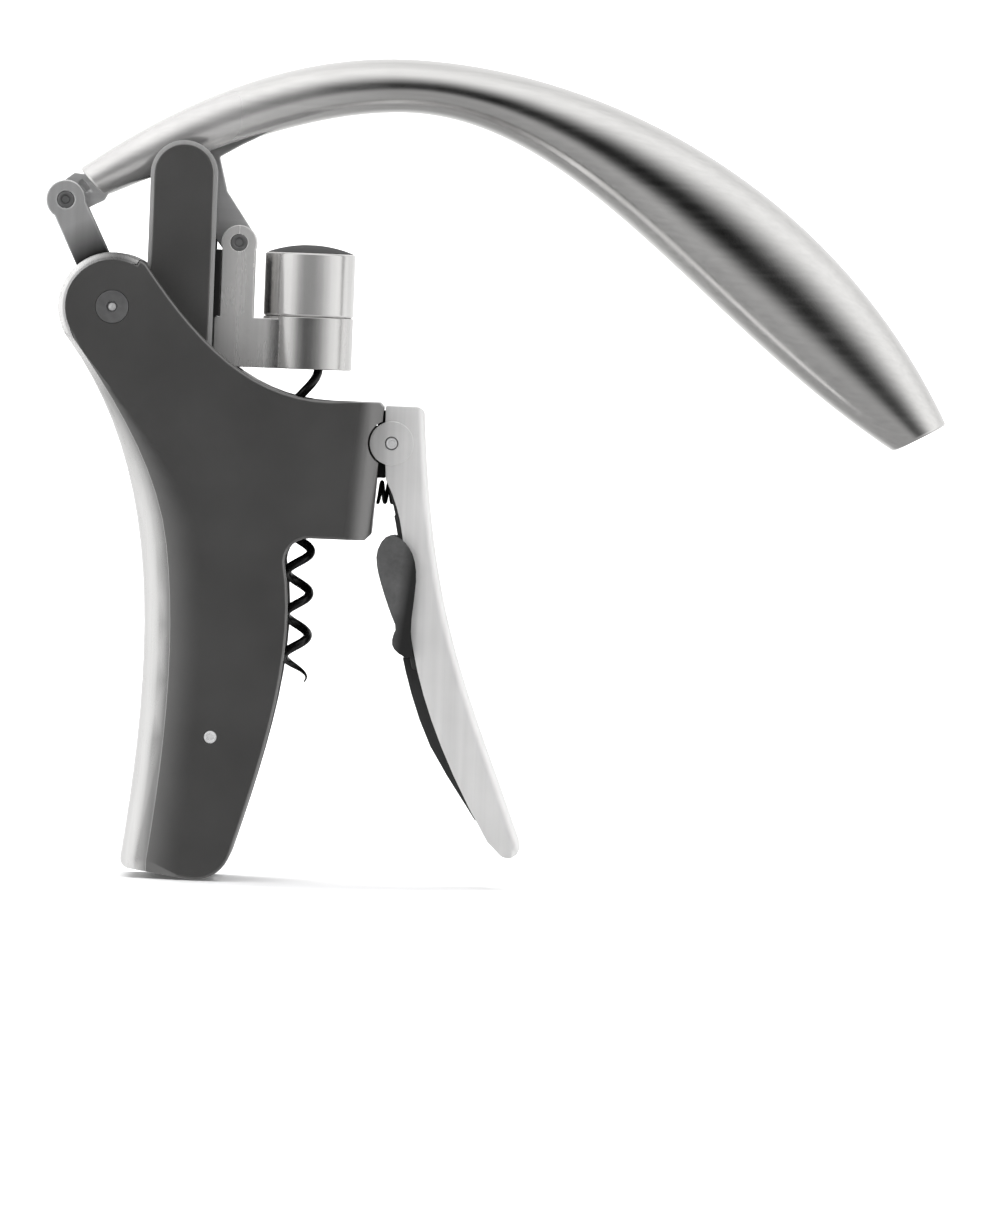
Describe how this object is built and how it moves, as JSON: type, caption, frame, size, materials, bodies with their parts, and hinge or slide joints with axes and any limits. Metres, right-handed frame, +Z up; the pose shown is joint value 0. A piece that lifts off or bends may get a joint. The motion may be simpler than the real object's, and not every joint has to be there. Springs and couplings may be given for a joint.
{
  "type": "vertical lever corkscrew",
  "caption": "Vertical lever corkscrew: a curved lever on links lifts a carriage whose worm runs through a nut, in a pistol-shaped grip with a spring-loaded neck clamp trigger.",
  "frame": {"origin": "centre of the bottle lip stop, on the worm axis", "axes": "+Z up the worm axis, +X towards the lever's free end, Y across the tool"},
  "size_m": [0.2073, 0.04, 0.1884],
  "materials": {
    "dark_shell": "satin gunmetal grey",
    "silver_trim": "satin silver",
    "silver_rail": "brushed silver",
    "dark_fin": "satin gunmetal grey",
    "black_plastic": "matt black",
    "pin_steel": "turned steel",
    "soft_liner": "soft matt black",
    "dark_screw": "dark plated",
    "black_spring": "black oxide",
    "cast_silver": "satin silver",
    "washer_brass": "plain",
    "worm_coating": "smooth black coating",
    "core_steel": "brushed",
    "handle_chrome": "satin chrome",
    "link_steel": "brushed",
    "trigger_chrome": "satin silver",
    "dark_liner": "matt dark grey",
    "jaw_rubber": "matt dark grey"
  },
  "bodies": {
    "housing": {"front_cover": "dark_shell", "rear_cover": "dark_shell", "back_spine": "silver_trim", "front_rail": "silver_rail", "rear_rail": "silver_rail", "front_fin_cover": "dark_fin", "rear_fin_cover": "dark_fin", "lip_seat": "black_plastic", "worm_nut": "black_plastic", "nut_followers": "pin_steel", "neck_liner": "soft_liner", "pivot_screws": "dark_screw", "grip_rivet": "pin_steel", "trigger_pin": "pin_steel", "trigger_spring": "black_spring"},
    "carriage": {"carriage": "cast_silver", "carriage_cap": "cast_silver", "thrust_washer": "washer_brass", "guide_slider": "black_plastic", "carriage_pin": "pin_steel"},
    "worm": {"worm": "worm_coating"},
    "lever": {"lever_core": "core_steel", "lever_handle": "handle_chrome", "link_pin": "pin_steel"},
    "links": {"front_link": "link_steel", "rear_link": "link_steel", "link_foot_pin": "pin_steel"},
    "trigger": {"trigger_shell": "trigger_chrome", "trigger_liner": "dark_liner", "jaw_pad": "jaw_rubber"}
  },
  "joints": [
    {"name": "carriage_slide", "type": "slide", "parent": "housing", "child": "carriage", "axis": [0, 0, 1], "range_m": [0, 0.03801]},
    {"name": "lever_swing", "type": "hinge", "parent": "carriage", "child": "lever", "pos_m": [-0.0163, 0, 0.0637], "axis": [0, -1, 0], "range_deg": [0, 53.31]},
    {"name": "link_swing", "type": "hinge", "parent": "lever", "child": "links", "pos_m": [-0.05619, 0, 0.07202], "axis": [0, -1, 0], "range_deg": [-74.33, 0]},
    {"name": "worm_spin", "type": "hinge", "parent": "carriage", "child": "worm", "pos_m": [0, 0, 0.04], "axis": [0, 0, 1], "range_deg": [0, 1426]},
    {"name": "trigger_squeeze", "type": "hinge", "parent": "housing", "child": "trigger", "pos_m": [0.0202, 0, 0.0193], "axis": [0, 1, 0], "range_deg": [0, 7], "stiffness_Nm_per_rad": 1.6, "springref_deg": -11.46, "deforming": ["trigger_spring"]}
  ],
  "couplings": [
    {"joint": "carriage_slide", "follows": "lever_swing", "m_per_rad": 0.040844},
    {"joint": "link_swing", "follows": "lever_swing", "ratio": -1.3935},
    {"joint": "worm_spin", "follows": "lever_swing", "ratio": 26.732}
  ]
}
